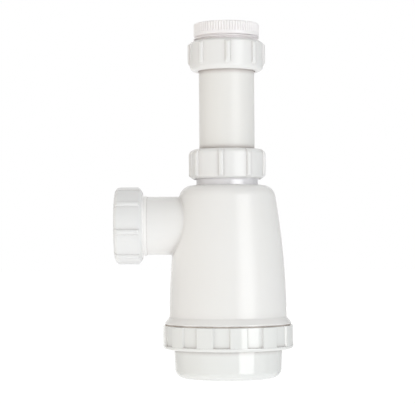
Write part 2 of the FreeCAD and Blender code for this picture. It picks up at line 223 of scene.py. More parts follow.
class TrapNutSettings(bpy.types.PropertyGroup):
    """Union nut, used three times."""

    height: length("Height", 21.6, "Mouth to the end of the lip, on neck and inlet")
    outlet_height: length("Outlet height", 20.0, "Mouth to the end of the lip, on the outlet")
    lip: length("Lip", 3.0, "Thickness of the lip")
    lip_bore: length("Lip bore", 20.5, "Radius of the hole in the lip")
    lip_round: length("Lip round", 3.5, "Round of the lip's outer edge")
    rim: length("Rim", 24.5, "Outer radius of the flat rim round the mouth")
    body: length("Body", 26.45, "Radius between the ribs")
    cone_slope: level("Cone slope", 0.72, "Rise of the mouth's cone over its run")
    cone_blend: length("Cone blend", 0.5, "Softness of the cone's upper edge")
    edge: length("Edge", 0.3, "Small round of the mouth and of the lip's hole")
    seat: length("Seat", 6.1, "Plain length under the lip, round the seal")
    rib_count: count("Ribs", 8, "Number of grip ribs")
    rib_tip: length("Rib tip", 28.15, "Radius at the top of a rib")
    rib_round: length("Rib round", 2.0, "Round of a rib's ridge")
    rib_end: length("Rib end", 5.0, "Round of a rib's end beside the lip")
    rib_gap: length("Rib gap", 2.8, "Lip to the ends of the inlet nut's ribs")
    rib_blend: length("Rib blend", 0.3, "Softness of the corner at a rib's foot")
    neck_turn: angle("Neck nut turn", -100.0, "Place of one rib on the neck's nut")
    inlet_turn: angle("Inlet nut turn", 88.5, "Place of one rib on the inlet nut")
    outlet_turn: angle("Outlet nut turn", -99.7, "Place of one rib on the outlet nut")


class TrapBushSettings(bpy.types.PropertyGroup):
    """Reducing bush at the inlet."""

    bore: length("Bore", 18.2, "Radius of the hole in the floor")
    floor: length("Floor", 4.6, "Height of the floor that carries the washer")
    pocket: length("Pocket", 20.5, "Radius of the washer's pocket")
    pocket_depth: length("Pocket depth", 2.5, "Depth of the washer's pocket")
    mouth: length("Mouth", 20.95, "Radius at the root of the female thread")
    mouth_depth: length("Mouth thread", 1.3, "Height of the female thread")
    collar: length("Collar", 23.6, "Radius of the collar")
    collar_height: length("Collar height", 9.5, "Height of the collar")
    collar_edge: length("Collar edge", 1.2, "Round of the collar's top")
    collar_foot: length("Collar foot", 0.8, "Round of the collar's lower edge")
    mouth_edge: length("Mouth edge", 0.6, "Bevel of the mouth and of the foot")
    knurl_count: count("Grooves", 72, "Number of grip grooves")
    knurl_height: length("Groove height", 7.2, "Height of a grip groove")
    knurl_depth: length("Groove depth", 0.6, "Depth of a grip groove")
    knurl_width: length("Groove width", 1.3, "Width of a grip groove at the surface")
    knurl_fade: length("Groove fade", 0.6, "Height over which a groove's lower end fades out")


class TrapCupSettings(bpy.types.PropertyGroup):
    """Cleanout cup and its grip band."""

    base: length("Base", 37.9, "Radius of the cup at its base")
    top: length("Top", 39.0, "Radius of the cup under the band")
    depth: length("Depth", 20.8, "Height of the cup below the band")
    corner: length("Corner", 6.3, "Round of the base's edge")
    wall: length("Wall", 2.1, "Thickness of the wall")
    floor: length("Floor", 2.4, "Thickness of the floor")
    ledge: length("Ledge", 3.0, "Height of the gasket's ledge above the band's foot")
    band: length("Band", 46.74, "Radius of the grip band")
    band_bore: length("Band bore", 43.3, "Radius at the root of the band's thread")
    band_foot: length("Band foot", 2.2, "Round of the band's lower edge")
    band_edge: length("Band edge", 0.45, "Round of the band's upper edge")
    thread_foot: length("Thread foot", 27.0, "Height of the lower end of the band's thread")
    recess_count: count("Recesses", 12, "Number of grip recesses")
    recess_width: length("Recess width", 12.6, "Width of a recess at the surface")
    recess_depth: length("Recess depth", 1.1, "Depth of a recess")
    recess_flank: length("Recess flank", 0.9, "Width of a recess's sloping side")
    recess_sill: length("Recess sill", 2.4, "Band left below a recess")
    recess_rise: length("Recess rise", 0.5, "Height of a recess's sloping lower side")
    recess_turn: angle("Recess turn", -96.5, "Place of the middle of one recess")
    gate: length("Gate mark", 4.0, "Radius of the moulding mark under the base")
    gate_depth: length("Gate depth", 0.6, "Depth of the moulding mark")


class TrapFinishSettings(bpy.types.PropertyGroup):
    """Colour and gloss of each finish."""

    bottle: colour("Bottle", (0.853, 0.848, 0.844), "Satin white of the bottle")
    # Painted light: the branch's end is painted whiter than the bottle, standing in for the light it
    # catches
    branch: colour("Branch", (0.880, 0.876, 0.872), "Whiter end of the bottle's outlet branch")
    bottle_rough: roughness("Bottle", 0.26)
    # Painted light and shade: the neck is painted lighter and cooler than the bottle's white, standing in
    # for the light and the cool shade round the neck under the nut
    neck: colour("Neck", (0.878, 0.873, 0.900), "Cool gloss of the bottle's neck")
    neck_rough: roughness("Neck", 0.30)
    # Painted highlight: the collar is painted whiter than the bottle, standing in for the highlight along
    # its stop ring
    collar: colour("Collar", (0.970, 0.968, 0.968), "Bright gloss of the outlet collar")
    # Painted shade: the bead's warm white stands in for the brownish shade in the joint under the rim
    bead: colour("Bead", (0.930, 0.855, 0.795), "Warm white of the bead under the bottle's rim")
    cup: colour("Cup", (0.820, 0.830, 0.825), "Cool glossy white of the cup")
    cup_rough: roughness("Cup", 0.09)
    tube: colour("Tube", (0.820, 0.813, 0.800), "Drawn white of the inlet tube")
    tube_rough: roughness("Tube", 0.38)
    nut: colour("Nut", (0.832, 0.831, 0.831), "Satin white of the nuts")
    nut_rough: roughness("Nut", 0.26)
    # Painted light: the outlet nut is painted a little lighter and cooler than the other nuts, standing
    # in for the cool light from the right that falls more on it
    outlet_nut: colour("Outlet nut", (0.832, 0.840, 0.852), "Cooler white of the outlet's nut")
    bush: colour("Bush", (0.940, 0.921, 0.933), "Whiter plastic of the bush")
    bush_rough: roughness("Bush", 0.30)
    ring: colour("Slip ring", (0.760, 0.755, 0.735), "Matt white of the slip rings")
    ring_rough: roughness("Slip ring", 0.48)
    rubber: colour("Rubber", (0.030, 0.030, 0.032), "Black of the seals and washers")
    rubber_rough: roughness("Rubber", 0.60)


class TrapStudioSettings(bpy.types.PropertyGroup):
    """Camera, lights and background."""

    distance: length("Distance", 1107.0, "Camera to the bottle's axis")
    eye: length("Eye level", 97.5, "Height of the camera")
    aim: length("Aim", 126.2, "Height that the camera points at")
    across: length("Across", -14.5, "Sideways place of the camera")
    roll: angle("Roll", 0.36, "Turn of the camera about its line of sight")
    lens: FloatProperty(
        name="Lens", description="Focal length of the camera", default=133.0, unit="CAMERA")
    ambient: level("Ambient", 0.750, "Strength of the light from overhead")
    horizon: level("Horizon", 0.10, "Strength of the light from level with the trap")
    ambient_tint: colour("Ambient tint", (1.0, 0.985, 0.960), "Colour of the light from all round")
    key: level("Key", 7.65, "Brightness of the soft light at the right")
    key_tint: colour("Key tint", (0.900, 0.968, 1.0), "Colour of the soft light at the right")
    front: level("Front", 4.05, "Brightness of the low light in front")
    front_tint: colour("Front tint", (1.0, 0.970, 0.915), "Colour of the low lights in front and behind")
    side: level("Side", 5.72, "Brightness of the low light at the left")
    side_tint: colour("Side tint", (1.0, 0.938, 0.815), "Colour of the low light at the left")
    back: level("Back", 3.2, "Brightness of the low light behind the trap")
    strip: level("Strip", 4.3, "Brightness of the tall strip that shines in the gloss")
    dark_right: share("Dark right", 0.62, "Grey that the gloss shows beyond the right side")
    dark_left: share("Dark left", 0.45, "Grey that the gloss shows beyond the left side")
    dim_left: share("Dim left", 0.90, "Grey that the gloss shows at the left")
    floor: share("Floor", 0.80, "Share of light that the floor sends back")
    floor_lift: share("Floor lift", 0.41, "Light that comes up through the floor")
    floor_glow: share("Floor glow", 0.90, "White that the camera sees in the floor")
    floor_shade: share("Floor shade", 0.25, "How strongly shadows show on the floor")


# Turned shapes


Corner = namedtuple("Corner", "radius height round step relief", defaults=(0.0, 0.0, None))
Row = namedtuple("Row", "radius height relief")


def smooth_step(value):
    """Soft ramp from nought to one."""
    value = min(max(value, 0.0), 1.0)
    return value * value * (3 - 2 * value)


def soft_max(first, second, blend):
    """Larger of two lengths, with a rounded meeting."""
    near = max(blend - abs(first - second), 0.0) / blend
    return max(first, second) + near * near * blend / 4


def soft_min(first, second, blend):
    """Smaller of two lengths, with a rounded meeting."""
    return -soft_max(-first, -second, blend)


def spaced(low, high, steps):
    """Even values from low to high, both included."""
    return [low + (high - low) * index / steps for index in range(steps + 1)]


def corner_points(before, corner, after):
    """Points round one corner of an outline, with a plain point at each side of its arc."""
    here = Vector((corner.radius, corner.height))
    if not corner.round:
        return [here]
    back = (Vector((before.radius, before.height)) - here).normalized()
    ahead = (Vector((after.radius, after.height)) - here).normalized()
    half = back.angle(ahead) / 2
    reach = corner.round / math.tan(half)
    middle = here + (back + ahead).normalized() * corner.round / math.sin(half)
    start = (here + back * reach - middle).normalized()
    end = (here + ahead * reach - middle).normalized()
    steps = max(2, math.ceil(start.angle(end) / ARC_STEP))
    arc = [middle + start.slerp(end, index / steps) * corner.round for index in range(steps + 1)]
    return [here + back * (reach + HOLD)] + arc + [here + ahead * (reach + HOLD)]


def outline(corners):
    """Rows of a turned outline. A corner's relief holds for its own points and the run after it."""
    rows = []
    total = len(corners)
    rounds = [
        corner_points(corners[index - 1], corner, corners[(index + 1) % total])
        for index, corner in enumerate(corners)
    ]
    for index, corner in enumerate(corners):
        rows += [Row(point.x, point.y, corner.relief) for point in rounds[index]]
        if not corner.step:
            continue
        start = rounds[index][-1]
        end = rounds[(index + 1) % total][0]
        steps = max(1, math.ceil((end - start).length / corner.step))
        for inner in range(1, steps):
            point = start.lerp(end, inner / steps)
            rows.append(Row(point.x, point.y, corner.relief))
    return rows


def repeated(offsets, copies, first):
    """Angles of columns that repeat a feature's own offsets round the axis."""
    pitch = FULL_TURN / copies
    return [first + index * pitch + offset for index in range(copies) for offset in offsets]


def plain_columns():
    """Angles of the columns of a piece with no ribs or grooves."""
    return repeated([0.0], PLAIN_COLUMNS, 0.0)


def mirrored(offsets, edge):
    """Offsets at both sides of a feature's middle, and the one between it and the next."""
    return sorted([-offset for offset in offsets] + [0.0] + list(offsets) + [edge])


def from_middle(turn, copies, first):
    """Angle from the middle of the nearest of several even features."""
    pitch = FULL_TURN / copies
    away = (turn - first) / pitch
    return (away - round(away)) * pitch


def turned_mesh(rows, columns, closed=True):
    """Mesh of rows turned through the columns' angles. A row on the axis is one point."""
    points = []
    rings = []
    for row in rows:
        ring = []
        if row.radius == 0:
            points.append((0.0, 0.0, row.height))
            ring = [len(points) - 1] * len(columns)
        else:
            for turn in columns:
                radius = row.radius
                if row.relief:
                    radius = row.relief(turn, row.radius, row.height)
                ring.append(len(points))
                points.append((radius * math.cos(turn), radius * math.sin(turn), row.height))
        rings.append(ring)
    pairs = list(zip(rings, rings[1:]))
    if closed:
        pairs.append((rings[-1], rings[0]))
    faces = []
    for low, high in pairs:
        for index in range(len(columns)):
            after = (index + 1) % len(columns)
            corners = [low[index], low[after], high[after], high[index]]
            faces.append(list(dict.fromkeys(corners)))
    return clean_mesh(points, faces)


def clean_mesh(points, faces):
    """Mesh with its faces outwards, smooth apart from its true edges."""
    mesh = bpy.data.meshes.new("mesh")
    mesh.from_pydata(points, [], faces)
    work = bmesh.new()
    work.from_mesh(mesh)
    bmesh.ops.recalc_face_normals(work, faces=work.faces)
    work.to_mesh(mesh)
    work.free()
    mesh.shade_smooth()
    mesh.set_sharp_from_angle(angle=SHARP_EDGE)
    return mesh


def ridge_height(off):
    """Height of a thread's rounded ridge, from nought to one, by its distance in pitches."""
    return smooth_step((RIDGE_FOOT - abs(off)) / RIDGE_FLANK)


def thread(pitch, depth, low, high, start):
    """Relief of a right-hand thread between two heights, fading out at its ends."""

    def relief(turn, radius, height):
        place = height / pitch - turn / FULL_TURN - start
        fade = smooth_step((height - low) / pitch) * smooth_step((high - height) / pitch)
        return radius + depth * fade * ridge_height(place - round(place))

    return relief


def ridge_mesh(radius, sink, pitch, depth, low, high):
    """One winding thread ridge, let into the wall that carries it, with tapered ends."""
    turns = (high - low) / pitch
    steps = round(turns * RIDGE_STEPS)
    points = []
    for index in range(steps + 1):
        middle = low + (high - low) * index / steps
        turn = FULL_TURN * middle / pitch
        end = min(index, steps - index) / RIDGE_STEPS
        size = smooth_step(end / RIDGE_TAPER)
        loop = [(-RIDGE_FOOT, radius - sink)]
        loop += [(off, radius + depth * size * ridge_height(off)) for off in RIDGE_PLACES]
        loop += [(RIDGE_FOOT, radius - sink)]
        for off, reach in loop:
            points.append((reach * math.cos(turn), reach * math.sin(turn), middle + off * pitch))
    wide = len(loop)
    faces = [list(range(wide)), list(range(steps * wide, (steps + 1) * wide))]
    for index in range(steps):
        for corner in range(wide):
            beside = (corner + 1) % wide
            low_side = index * wide
            high_side = low_side + wide
            faces.append([low_side + corner, low_side + beside, high_side + beside, high_side + corner])
    return clean_mesh(points, faces)


def show(name, mesh, place, finish, slot, body, *nodes):
    """Object for a mesh, set in its place, finished and riding on its body."""
    mesh.name = name
    mesh.transform(place)
    piece = bpy.data.objects.new(name, mesh)
    bpy.context.scene.collection.objects.link(piece)
    mesh.materials.append(finish)
    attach(piece, body)
    if nodes:
        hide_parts(*nodes)


def refinish(finish, *nodes):
    """Gives CAD nodes that stay in view their finish."""
    for name in nodes:
        for place in frame["nodes"][name].material_slots:
            place.material = finish


# Finishes


def set_inputs(tree, node, **inputs):
    """Links or sets a node's inputs. An input's spaces are written as underscores."""
    for label, value in inputs.items():
        socket = node.inputs[label.replace("_", " ")]
        if isinstance(value, bpy.types.NodeSocket):
            tree.links.new(value, socket)
        else:
            socket.default_value = value


def add_node(tree, kind, **inputs):
    """New shader node with these inputs."""
    node = tree.nodes.new(kind)
    set_inputs(tree, node, **inputs)
    return node


def joined(tree, kind, *sources):
    """New shader node with its inputs linked in order."""
    node = tree.nodes.new(kind)
    for socket, source in zip(node.inputs, sources):
        tree.links.new(source, socket)
    return node


def two_tone(tree, mask, low, high, first, second):
    """Colour that goes from the first to the second as the mask goes from low to high."""
    ramp = add_node(tree, "ShaderNodeValToRGB", Fac=mask)
    for stop, position, tone in zip(ramp.color_ramp.elements, (low, high), (first, second)):
        stop.position = position
        stop.color = (*tone, 1.0)
    return ramp.outputs["Color"]


def finish_base(name):
    """New material with its node tree, shader and object coordinates."""
    material = bpy.data.materials.new(name)
    material.use_nodes = True
    tree = material.node_tree
    place = tree.nodes.new("ShaderNodeTexCoord").outputs["Object"]
    return material, tree, tree.nodes["Principled BSDF"], place


def noise(tree, place, scale, detail):
    """Height or mask from a noise with this many features a metre."""
    return add_node(tree, "ShaderNodeTexNoise", Vector=place, Scale=scale, Detail=detail).outputs[0]


def ranged(tree, mask, low, high, first=0.0, second=1.0):
    """Number that goes from the first to the second as the mask goes from low to high."""
    return add_node(
        tree, "ShaderNodeMapRange", Value=mask, From_Min=low, From_Max=high, To_Min=first,
        To_Max=second).outputs["Result"]


def mixed_colour(tree, mask, first, second):
    """Mix by a mask of a plain colour and one that a node gives."""
    return add_node(
        tree, "ShaderNodeMixRGB", Fac=mask, Color1=(*first, 1.0), Color2=second).outputs["Color"]


def bumps(tree, relief, strength, height, **under):
    """Normal of a relief's bumps, laid over the normal under them."""
    bump = add_node(
        tree, "ShaderNodeBump", Height=relief, Strength=strength, Distance=height, **under)
    return bump.outputs["Normal"]


def paint_crease_shade(tree, white, tint, crease_shade, reach, alone):
    """Painted shade: white that is darker where other surfaces, or only the piece's own, close in within
    a reach.
    """
    shaded_tint = [part * (1 - crease_shade * loss) for part, loss in zip(tint, CREASE_SHADE_LOSS)]
    corner = add_node(tree, "ShaderNodeAmbientOcclusion", Distance=reach)
    corner.samples = 8
    corner.only_local = alone
    openness = ranged(tree, corner.outputs["AO"], low=0.35, high=0.95)
    return mixed_colour(tree, openness, shaded_tint, white)


def moulded_white(name, tint, rough, ripple=0.06, grain=0.04, crease_shade=1.0, reach=4 * MM, bend=1.49,
                  branch=None, alone=False):
    """White polypropylene: drifting tint, painted shade in creases, uneven gloss, slow ripples and a fine
    grain.
    """
    material, tree, shader, place = finish_base(name)
    shade = [part * factor for part, factor in zip(tint, TINT_DRIFT)]
    drift = noise(tree, place, scale=28.0, detail=2.0)
    patches = noise(tree, place, scale=40.0, detail=1.0)
    waves = noise(tree, place, scale=55.0, detail=1.0)
    skin = noise(tree, place, scale=2600.0, detail=2.0)
    white = two_tone(tree, drift, low=0.2, high=0.8, first=tint, second=shade)
    # Painted light: the outlet branch's end is painted whiter, fading into the bottle's white towards the
    # body
    if branch:
        across = add_node(tree, "ShaderNodeSeparateXYZ", Vector=place).outputs["X"]
        white = mixed_colour(tree, ranged(tree, across, BRANCH_PAINTED_FULL, BRANCH_PAINTED_NONE), branch, white)
    rippled = bumps(tree, waves, strength=ripple, height=0.2 * MM)
    set_inputs(
        tree, shader,
        # Painted shade: creases are painted darker, as strongly as each finish's crease setting asks
        Base_Color=paint_crease_shade(tree, white, tint, crease_shade, reach, alone),
        Roughness=ranged(
            tree, patches, low=0.3, high=0.7, first=rough * 0.96, second=rough * 1.05),
        Normal=bumps(tree, skin, strength=grain, height=0.03 * MM, Normal=rippled),
        IOR=bend,
        Subsurface_Weight=0.08,
        Subsurface_Radius=(1.0, 0.95, 0.85),
        Subsurface_Scale=1.2 * MM)
    return material


def moulded_rubber(name, tint, rough):
    """Black rubber: dusty bloom in patches over a pebbled skin."""
    material, tree, shader, place = finish_base(name)
    bloom = noise(tree, place, scale=140.0, detail=5.0)
    pebbles = noise(tree, place, scale=1900.0, detail=3.0)
    dusty = [part + 0.03 for part in tint]
    set_inputs(
        tree, shader,
        Base_Color=two_tone(tree, bloom, low=0.42, high=0.75, first=tint, second=dusty),
        Roughness=ranged(
            tree, bloom, low=0.35, high=0.7, first=rough * 0.85, second=rough * 1.25),
        Normal=bumps(tree, pebbles, strength=0.35, height=0.06 * MM),
        IOR=1.52)
    return material


# Places of the unions: each maps a nut's own frame, lip inner face at nought and lip up


def neck_place(nut):
    """Place of the nut on the neck."""
    return Matrix.Translation((0, 0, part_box("neck_nut")[1].z - nut.lip))


def inlet_place(nut):
    """Place of the nut under the bush, mouth up."""
    middle = (0, 0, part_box("inlet_nut")[0].z + nut.lip)
    return Matrix.Translation(middle) @ Matrix.Rotation(math.pi, 4, "X")


def outlet_place(nut):
    """Place of the nut on the outlet, lip along -X."""
    middle = (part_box("outlet_nut")[0].x + nut.lip, 0, OUTLET_AXIS_Z)
    return Matrix.Translation(middle) @ Matrix.Rotation(-math.pi / 2, 4, "Y")


# Pieces


def collar_rows(collar, sizes, foot, mouth):
    """Rows of the outlet collar, from the branch to its mouth: stop ring, groove, thread and socket."""
    ring_top = foot + collar.ring_width
    groove_top = ring_top + collar.groove_width
    male = thread(sizes.union_pitch, sizes.union_depth, groove_top - sizes.union_pitch / 2, mouth, 0.0)
    return outline([
        Corner(collar.bore, foot),
        Corner(collar.ring, foot, collar.ring_round),
        Corner(collar.ring, ring_top, collar.ring_round),
        Corner(collar.groove, ring_top),
        Corner(collar.groove, groove_top),
        Corner(sizes.union_root, groove_top + sizes.union_root - collar.groove,
               step=sizes.union_pitch / THREAD_ROWS, relief=male),
        Corner(sizes.union_root, mouth),
        Corner(collar.socket + collar.taper, mouth),
        Corner(collar.socket, mouth - collar.taper_depth),
        Corner(collar.socket, mouth - collar.socket_depth),
        Corner(collar.bore, mouth - collar.socket_depth),
    ])


def bead_rows(sizes):
    """Rows of the bead that fills the joint under the bottle's rim: a piece put where the joint's shade
    is, whose warm white paints that shade's tone.
    """
    low = CUP_HIGH.z + sizes.bead_gap
    high = low + sizes.bead_height
    inside = sizes.foot_root - sizes.sink
    return outline([
        Corner(inside, low),
        Corner(sizes.bead, low, sizes.bead_height / 3),
        Corner(sizes.bead, high, sizes.bead_height / 3),
        Corner(inside, high),
    ])


def neck_rows(sizes, nut):
    """Rows of the neck's skin, from the shoulder to the seal: plain foot and thread."""
    low = BOTTLE_HIGH.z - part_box("neck_nut")[1].z + nut.lip - sizes.neck_length - sizes.sink
    high = -nut.seat
    inside = sizes.union_root - sizes.sink
    skin = sizes.union_root + sizes.neck_skin
    start = nut.lip - nut.height - sizes.union_pitch / 2
    male = thread(sizes.union_pitch, sizes.union_depth, start, high, 0.0)
    return outline([
        Corner(inside, low),
        Corner(skin, low),
        Corner(skin, start, step=sizes.union_pitch / THREAD_ROWS, relief=male),
        Corner(skin, high),
        Corner(inside, high),
    ])


class TRAP_OT_bottle(bpy.types.Operator):
    """Finish of the bottle, dip tube and outlet collar, and the threads on neck, outlet and foot"""

    bl_idname = "trap.bottle"
    bl_label = "Bottle and Threads"

    def execute(self, context):
        finishes = context.scene.trap_finish
        sizes = context.scene.trap_thread
        nut = context.scene.trap_nut
        upright = Matrix.Identity(4)
        satin = moulded_white(
            "bottle_satin_white", finishes.bottle, finishes.bottle_rough, ripple=0.10, grain=0.06,
            reach=5 * MM, branch=finishes.branch)
        refinish(satin, "bottle_body", "dip_tube")
        neck = turned_mesh(neck_rows(sizes, nut), plain_columns())
        # Neck finish with painted light and shade in its lighter, cooler white; its gloss is the shader's
        # own
        gloss = moulded_white(
            "neck_gloss_painted_light", finishes.neck, finishes.neck_rough, crease_shade=0.25, bend=2.1)
        show("neck_threaded", neck, neck_place(nut), gloss, "bottle_white", "bottle")
        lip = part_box("outlet_nut")[0].x + nut.lip
        rows = collar_rows(
            context.scene.trap_collar, sizes, lip - COLLAR_HIGH.x, lip - COLLAR_LOW.x)
        collar = turned_mesh(rows, plain_columns())
        # Painted highlight: the collar's whiter colour stands in for the highlight on its stop ring
        painted_highlight = moulded_white(
            "collar_gloss_painted_highlight", finishes.collar, finishes.neck_rough, crease_shade=0.1, bend=1.8)
        show("collar_threaded", collar, outlet_place(nut), painted_highlight, "bottle_white", "bottle",
             "outlet_collar")
        half_pitch = sizes.foot_pitch / 2
        ridge = ridge_mesh(
            sizes.foot_root, sizes.sink, sizes.foot_pitch, sizes.foot_depth,
            BOTTLE_LOW.z + half_pitch, CUP_HIGH.z - half_pitch)
        show("foot_thread", ridge, upright, satin, "bottle_white", "bottle")
        bead = turned_mesh(bead_rows(sizes), plain_columns())
        # Painted shade: warm white of the bead that stands in for the joint's shade
        joint_shade_paint = moulded_white("bead_painted_joint_shade", finishes.bead, finishes.neck_rough, crease_shade=0.1)
        show("joint_shade_bead", bead, upright, joint_shade_paint, "bottle_white", "bottle")
        return {"FINISHED"}


class TRAP_OT_tube(bpy.types.Operator):
    """Finish of the telescopic inlet tube"""

    bl_idname = "trap.tube"
    bl_label = "Inlet Tube"

    def execute(self, context):
        finishes = context.scene.trap_finish
        finish = moulded_white(
            "tube_drawn_white", finishes.tube, finishes.tube_rough, grain=0.05, crease_shade=1.6)
        refinish(finish, "inlet_tube")
        return {"FINISHED"}


def nut_side(nut, mouth, radius, end_round, height, gap=0.0):
    """Radius of the nut's outside at a height: mouth cone, straight side and rounded end."""
    cone = nut.rim + (height - mouth) / nut.cone_slope
    reach = soft_min(cone, radius, nut.cone_blend)
    over = height - nut.lip + gap + end_round
    if over > 0:
        reach = radius - end_round + math.sqrt(max(end_round ** 2 - over ** 2, 0.0))
    return reach


def nut_ribs(nut, mouth, first, gap):
    """Relief of the ribs on the nut's side."""
    middle = nut.rib_tip - nut.rib_round

    def relief(turn, radius, height):
        away = from_middle(turn, nut.rib_count, first)
        across = middle * math.sin(away)
        if abs(across) >= nut.rib_round:
            return radius
        ridge = middle * math.cos(away) + math.sqrt(nut.rib_round ** 2 - across ** 2)
        end = nut_side(nut, mouth, nut.rib_tip, nut.rib_end, height, gap)
        return soft_max(radius, soft_min(ridge, end, nut.rib_blend), nut.rib_blend)

    return relief


def nut_rows(nut, sizes, mouth, first, start, gap):
    """Rows of a nut: side with its ribs, lip, threaded bore and mouth."""
    ribs = nut_ribs(nut, mouth, first, gap)
    rib_shoulder = nut.lip - gap - nut.rib_end
    lip_shoulder = nut.lip - nut.lip_round
    quarter = [math.sin(turn) for turn in spaced(0.0, math.pi / 2, QUARTER_ROWS)[:-1]]
    heights = spaced(mouth + nut.edge, mouth + CONE_BAND, CONE_ROWS)
    heights += spaced(mouth + CONE_BAND + MM, rib_shoulder - MM, SIDE_ROWS)
    heights += [rib_shoulder + nut.rib_end * part for part in quarter]
    heights += [lip_shoulder + nut.lip_round * part for part in quarter]
    outside = [
        Row(nut_side(nut, mouth, nut.body, nut.lip_round, height), height, ribs)
        for height in sorted(set(heights))
    ]
    female = thread(
        sizes.union_pitch, sizes.female_relief - sizes.union_depth,
        mouth + nut.edge, -nut.seat, start + 0.5)
    rest = outline([
        Corner(nut.body - nut.lip_round, nut.lip),
        Corner(nut.lip_bore, nut.lip, nut.edge),
        Corner(nut.lip_bore, 0.0),
        Corner(sizes.union_bore, 0.0, nut.edge),
        Corner(sizes.union_bore, -nut.seat, step=sizes.union_pitch / THREAD_ROWS, relief=female),
        Corner(sizes.union_bore, mouth + nut.edge),
        Corner(sizes.union_bore + nut.edge, mouth),
        Corner(nut.rim - nut.edge / 2, mouth),
    ])
    return outside + rest


class TRAP_OT_union_nuts(bpy.types.Operator):
    """Ribbed and threaded union nuts on the neck, under the bush and on the outlet"""

    bl_idname = "trap.union_nuts"
    bl_label = "Union Nuts"

    def execute(self, context):
        nut = context.scene.trap_nut
        sizes = context.scene.trap_thread
        finishes = context.scene.trap_finish
        satin = moulded_white(
            "nut_satin_white", finishes.nut, finishes.nut_rough, ripple=0.08, grain=0.06, crease_shade=1.3)
        # Painted light: the outlet nut's cooler white stands in for the cool light from the right
        outlet_painted_light = moulded_white(
            "outlet_nut_painted_cool_light", finishes.outlet_nut, finishes.nut_rough, ripple=0.08, grain=0.06,
            crease_shade=1.15)
        spread = mirrored([math.radians(part) for part in RIB_COLUMNS], math.pi / nut.rib_count)
        bush_start = -sizes.bush_start
        for name, white, place, height, first, start, gap in (
            ("neck_nut", satin, neck_place(nut), nut.height, nut.neck_turn, 0.0, 0.0),
            ("inlet_nut", satin, inlet_place(nut), nut.height, nut.inlet_turn, bush_start, nut.rib_gap),
            ("outlet_nut", outlet_painted_light, outlet_place(nut), nut.outlet_height, nut.outlet_turn, 0.0, 0.0),
        ):
            columns = repeated(spread, nut.rib_count, first)
            rows = nut_rows(nut, sizes, nut.lip - height, first, start, gap)
            mesh = turned_mesh(rows, columns)
            show(name + "_ribbed", mesh, place, white, "nut_white", name, name)
        return {"FINISHED"}


def bush_grooves(bush, low):
    """Relief of the grip grooves above a height."""

    def relief(turn, radius, height):
        across = abs(from_middle(turn, bush.knurl_count, -math.pi / 2)) * radius
        share_in = smooth_step(1 - 2 * across / bush.knurl_width)
        end = smooth_step((height - low) / bush.knurl_fade)
        return min(radius, bush.collar - bush.knurl_depth * share_in * end)

    return relief


class TRAP_OT_bush(bpy.types.Operator):
    """Reducing bush with its grooved collar and its two threads"""

    bl_idname = "trap.bush"
    bl_label = "Reducing Bush"

    def execute(self, context):
        bush = context.scene.trap_bush
        sizes = context.scene.trap_thread
        nut = context.scene.trap_nut
        finishes = context.scene.trap_finish
        finish = moulded_white(
            "bush_bright_white", finishes.bush, finishes.bush_rough, ripple=0.08, grain=0.06, crease_shade=0.45)
        foot = BUSH_LOW.z
        top = BUSH_HIGH.z
        collar = top - bush.collar_height
        knurl = top - bush.knurl_height
        seat = foot + bush.floor + bush.pocket_depth
        edge = bush.mouth_edge
        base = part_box("inlet_nut")[0].z + nut.lip
        pitch = sizes.union_pitch
        male = thread(
            pitch, sizes.union_depth, foot, collar + pitch, base / pitch + sizes.bush_start)
        female = thread(pitch, -bush.mouth_depth, seat, top, 0.0)
        grooves = bush_grooves(bush, knurl)
        rows = outline([
            Corner(bush.bore, foot, nut.edge),
            Corner(sizes.union_root - edge, foot),
            Corner(sizes.union_root, foot + edge, step=pitch / THREAD_ROWS, relief=male),
            Corner(sizes.union_root, collar),
            Corner(bush.collar, collar, bush.collar_foot),
            Corner(bush.collar, knurl, step=GROOVE_FOOT_ROW, relief=grooves),
            Corner(bush.collar, knurl + GROOVE_FOOT_BAND, step=GROOVE_ROW, relief=grooves),
            Corner(bush.collar, top, bush.collar_edge, relief=grooves),
            Corner(bush.mouth + edge, top),
            Corner(bush.mouth, top - edge, step=pitch / MOUTH_ROWS, relief=female),
            Corner(bush.mouth, seat),
            Corner(bush.pocket, seat),
            Corner(bush.pocket, foot + bush.floor),
            Corner(bush.bore, foot + bush.floor, nut.edge),
        ])
        groove = bush.knurl_width / 2 / bush.collar
        spread = mirrored([groove * part for part in GROOVE_COLUMNS], math.pi / bush.knurl_count)
        mesh = turned_mesh(rows, repeated(spread, bush.knurl_count, -math.pi / 2))
        show("bush_grooved", mesh, Matrix.Identity(4), finish, "bush_white", "bush", "reducer_bush")
        return {"FINISHED"}


def cup_recesses(cup):
    """Relief of the grip recesses in the band."""
    sill = cup.depth + cup.recess_sill

    def relief(turn, radius, height):
        across = abs(from_middle(turn, cup.recess_count, cup.recess_turn)) * cup.band
        inside = min(max((cup.recess_width / 2 - across) / cup.recess_flank, 0.0), 1.0)
        rise = smooth_step((height - sill) / cup.recess_rise)
        return radius - cup.recess_depth * inside * rise

    return relief


